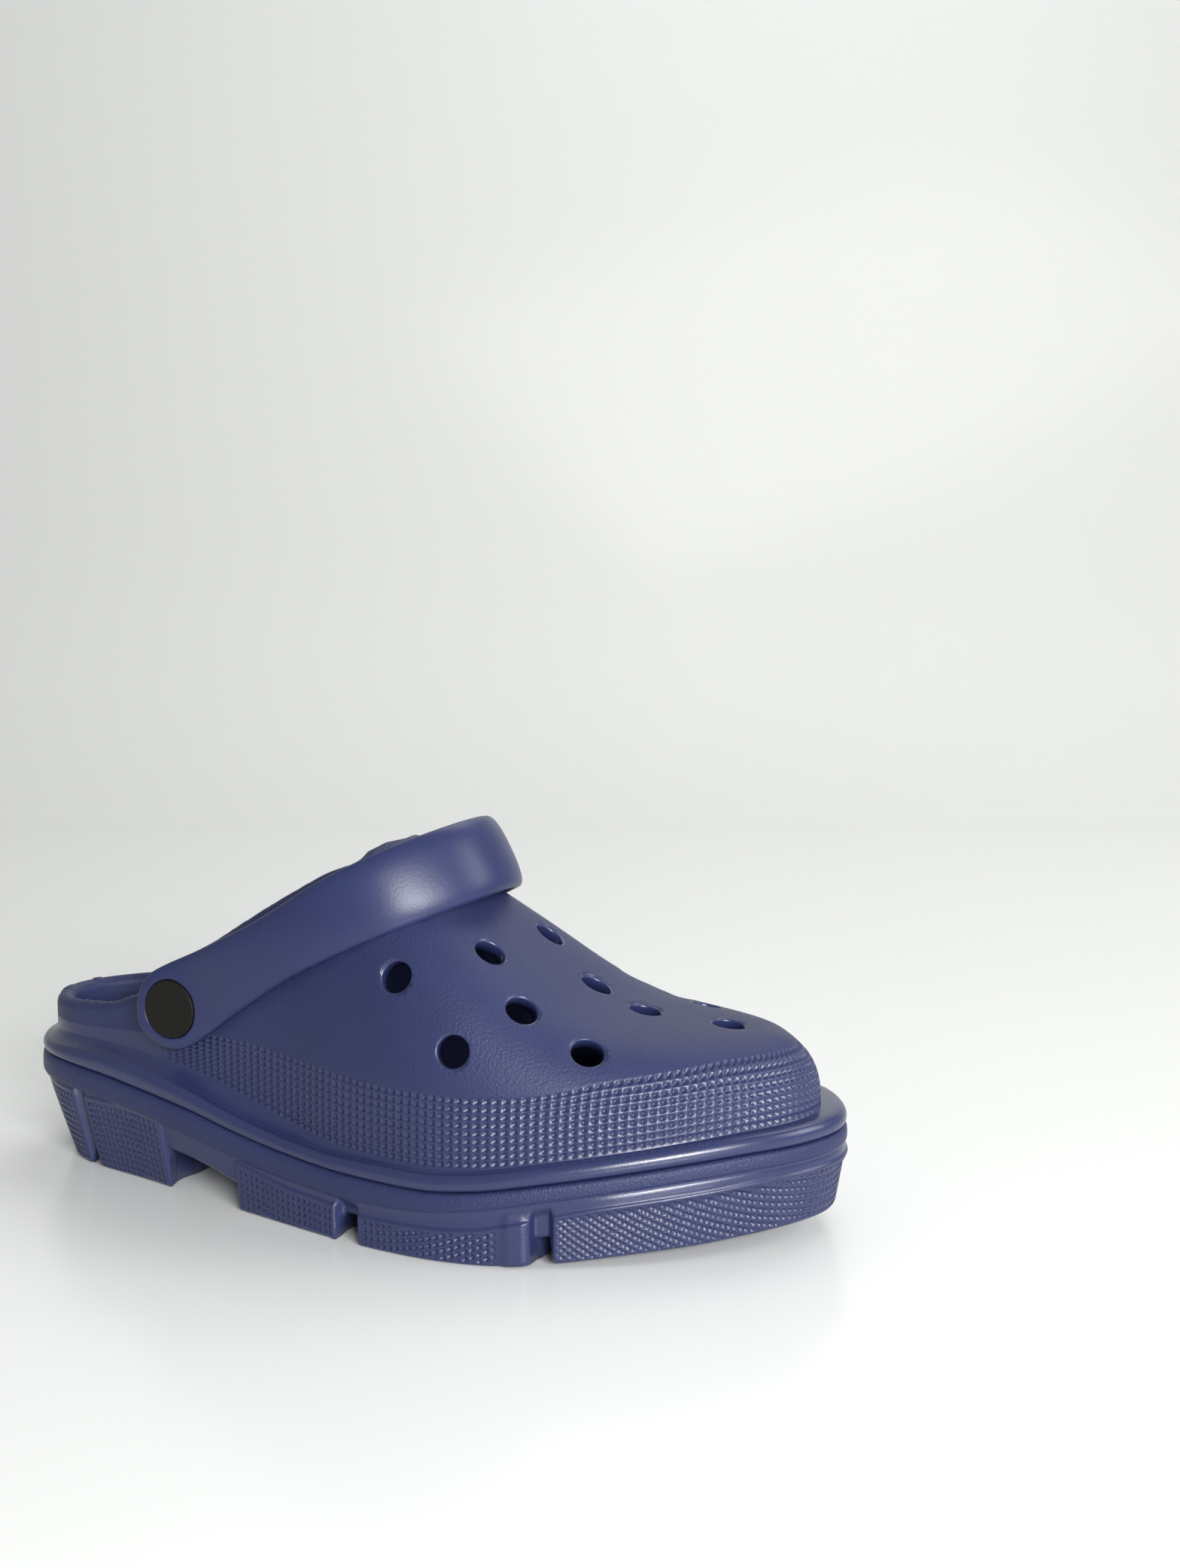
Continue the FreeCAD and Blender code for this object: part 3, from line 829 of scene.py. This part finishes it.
def foam(name, colour, roughness, grain, grain_size, specular=0.4, mottle=0.10):
    """Moulded foam: fine skin grain, slight uneven tint and uneven gloss."""
    material, tree, shader = new_material(name, colour, roughness, specular)
    link = tree.links.new
    place = add(tree, "ShaderNodeTexCoord")
    cloud = add(tree, "ShaderNodeTexNoise", in_Scale=38.0, in_Detail=4.0, in_Roughness=0.6)
    link(place.outputs["Object"], cloud.inputs["Vector"])
    tint = add(tree, "ShaderNodeMix", data_type="RGBA")
    dark = [c * (1 - mottle) for c in colour]
    light = [min(c * (1 + mottle), 1) for c in colour]
    tint.inputs[6].default_value = (*dark, 1)
    tint.inputs[7].default_value = (*light, 1)
    link(cloud.outputs["Fac"], tint.inputs[0])
    link(tint.outputs[2], shader.inputs["Base Color"])
    gloss = add(tree, "ShaderNodeMapRange")
    gloss.inputs["To Min"].default_value = roughness - 0.06
    gloss.inputs["To Max"].default_value = roughness + 0.06
    link(cloud.outputs["Fac"], gloss.inputs["Value"])
    link(gloss.outputs["Result"], shader.inputs["Roughness"])
    cells = add(tree, "ShaderNodeTexVoronoi", in_Scale=1.0 / grain_size)
    link(place.outputs["Object"], cells.inputs["Vector"])
    fine = add(tree, "ShaderNodeTexNoise", in_Scale=1.6 / grain_size, in_Detail=2.0)
    link(place.outputs["Object"], fine.inputs["Vector"])
    sum_up = add(tree, "ShaderNodeMath", operation="ADD")
    link(cells.outputs["Distance"], sum_up.inputs[0])
    link(fine.outputs["Fac"], sum_up.inputs[1])
    bump = add(tree, "ShaderNodeBump", in_Strength=grain, in_Distance=0.0003)
    link(sum_up.outputs[0], bump.inputs["Height"])
    link(bump.outputs["Normal"], shader.inputs["Normal"])
    return material


NAVY = (0.020, 0.027, 0.090)
MATERIALS = {
    SATIN: foam("foam_satin", NAVY, 0.28, 0.05, 0.0009, specular=0.65),
    GRAIN: foam("foam_grain", NAVY, 0.52, 0.35, 0.0009),
    LATTICE: foam("foam_lattice", NAVY, 0.34, 0.08, 0.0006, specular=0.6),
    LINING: foam("foam_lining", (0.032, 0.042, 0.12), 0.6, 0.2, 0.0012),
    STIPPLE: foam("foam_stipple", NAVY, 0.5, 0.5, 0.0008),
    LUGS: foam("foam_lugs", NAVY, 0.36, 0.10, 0.0006, specular=0.6),
}

upper = upper_piece()
make_outward(upper)
carve(upper, vent_cutters(upper))
for material in MATERIALS.values():
    upper.data.materials.append(material)
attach(upper, "shoe")
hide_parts("upper_shell")

outsole = outsole_piece()
make_outward(outsole)
for material in MATERIALS.values():
    outsole.data.materials.append(material)
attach(outsole, "shoe")
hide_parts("outsole")

strap = strap_piece()
make_outward(strap)
carve(strap, rivet_recesses())
strap.data.materials.append(foam("foam_strap", NAVY, 0.36, 0.06, 0.0010))
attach(strap, "strap")
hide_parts("heel_strap")

black = foam("rivet_black", (0.0085, 0.0078, 0.0068), 0.6, 0.12, 0.0005, specular=0.18)
for name in ("rivet_cap_outer_side", "rivet_cap_inner_side",
             "rivet_post_outer_side", "rivet_post_inner_side"):
    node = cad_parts[name]
    node.data.materials.clear()
    node.data.materials.append(black)

# ---- camera, floor and light ---------------------------------------------------------
camera_data = bpy.data.cameras.new("camera")
camera = bpy.data.objects.new("camera", camera_data)
bpy.context.scene.collection.objects.link(camera)
camera.location = (0.3073, -0.5276, 0.2058)
CAMERA_DOWN, CAMERA_TURN = math.radians(6.45), math.radians(24.48)
camera.rotation_euler = (math.pi / 2 - CAMERA_DOWN, 0.0, CAMERA_TURN)
camera_data.sensor_width = 36.0
camera_data.lens = 42.13
bpy.context.scene.camera = camera
bpy.context.scene.view_settings.view_transform = "Standard"


def sweep():
    """Floor that curves up into a backdrop behind the object."""
    points, faces = [], []
    bend, steps, half_width = 0.9, 12, 4.0
    profile = [(-3.0, 0.0)]
    for i in range(steps + 1):
        a = math.radians(90 * i / steps)
        profile.append((bend + bend * math.sin(a), bend - bend * math.cos(a)))
    profile.append((2 * bend, 4.0))
    for y, z in profile:
        points += [(-half_width, y, z), (half_width, y, z)]
    for i in range(len(profile) - 1):
        faces.append((2 * i, 2 * i + 1, 2 * i + 3, 2 * i + 2))
    data = bpy.data.meshes.new("floor")
    data.from_pydata(points, [], faces)
    data.polygons.foreach_set("use_smooth", [True] * len(faces))
    floor = bpy.data.objects.new("floor", data)
    bpy.context.scene.collection.objects.link(floor)
    data.materials.append(new_material("pale_floor", (0.86, 0.87, 0.855), 0.22, 0.3)[0])
    floor.rotation_euler = (0, 0, CAMERA_TURN)


sweep()


def area_light(name, place, target, size, power):
    data = bpy.data.lights.new(name, "AREA")
    data.shape = "RECTANGLE"
    data.size, data.size_y = size
    data.energy = power
    light = bpy.data.objects.new(name, data)
    bpy.context.scene.collection.objects.link(light)
    light.location = place
    light.rotation_mode = "QUATERNION"
    way = Vector(target) - Vector(place)
    light.rotation_quaternion = way.to_track_quat("-Z", "Y")


area_light("key", (1.1, -1.05, 0.52), (0.08, 0, 0.05), (0.7, 0.4), 31)
area_light("side", (1.3, 0.35, 0.75), (0.08, 0, 0.06), (0.6, 0.6), 6)
area_light("top", (0.1, 1.1, 1.7), (0.05, 0.6, 0), (1.4, 1.0), 10)
world = bpy.data.worlds.new("studio")
bpy.context.scene.world = world
world.use_nodes = True
sky = world.node_tree.nodes["Background"]
sky.inputs["Color"].default_value = (0.95, 0.965, 0.96, 1)
sky.inputs["Strength"].default_value = 0.35
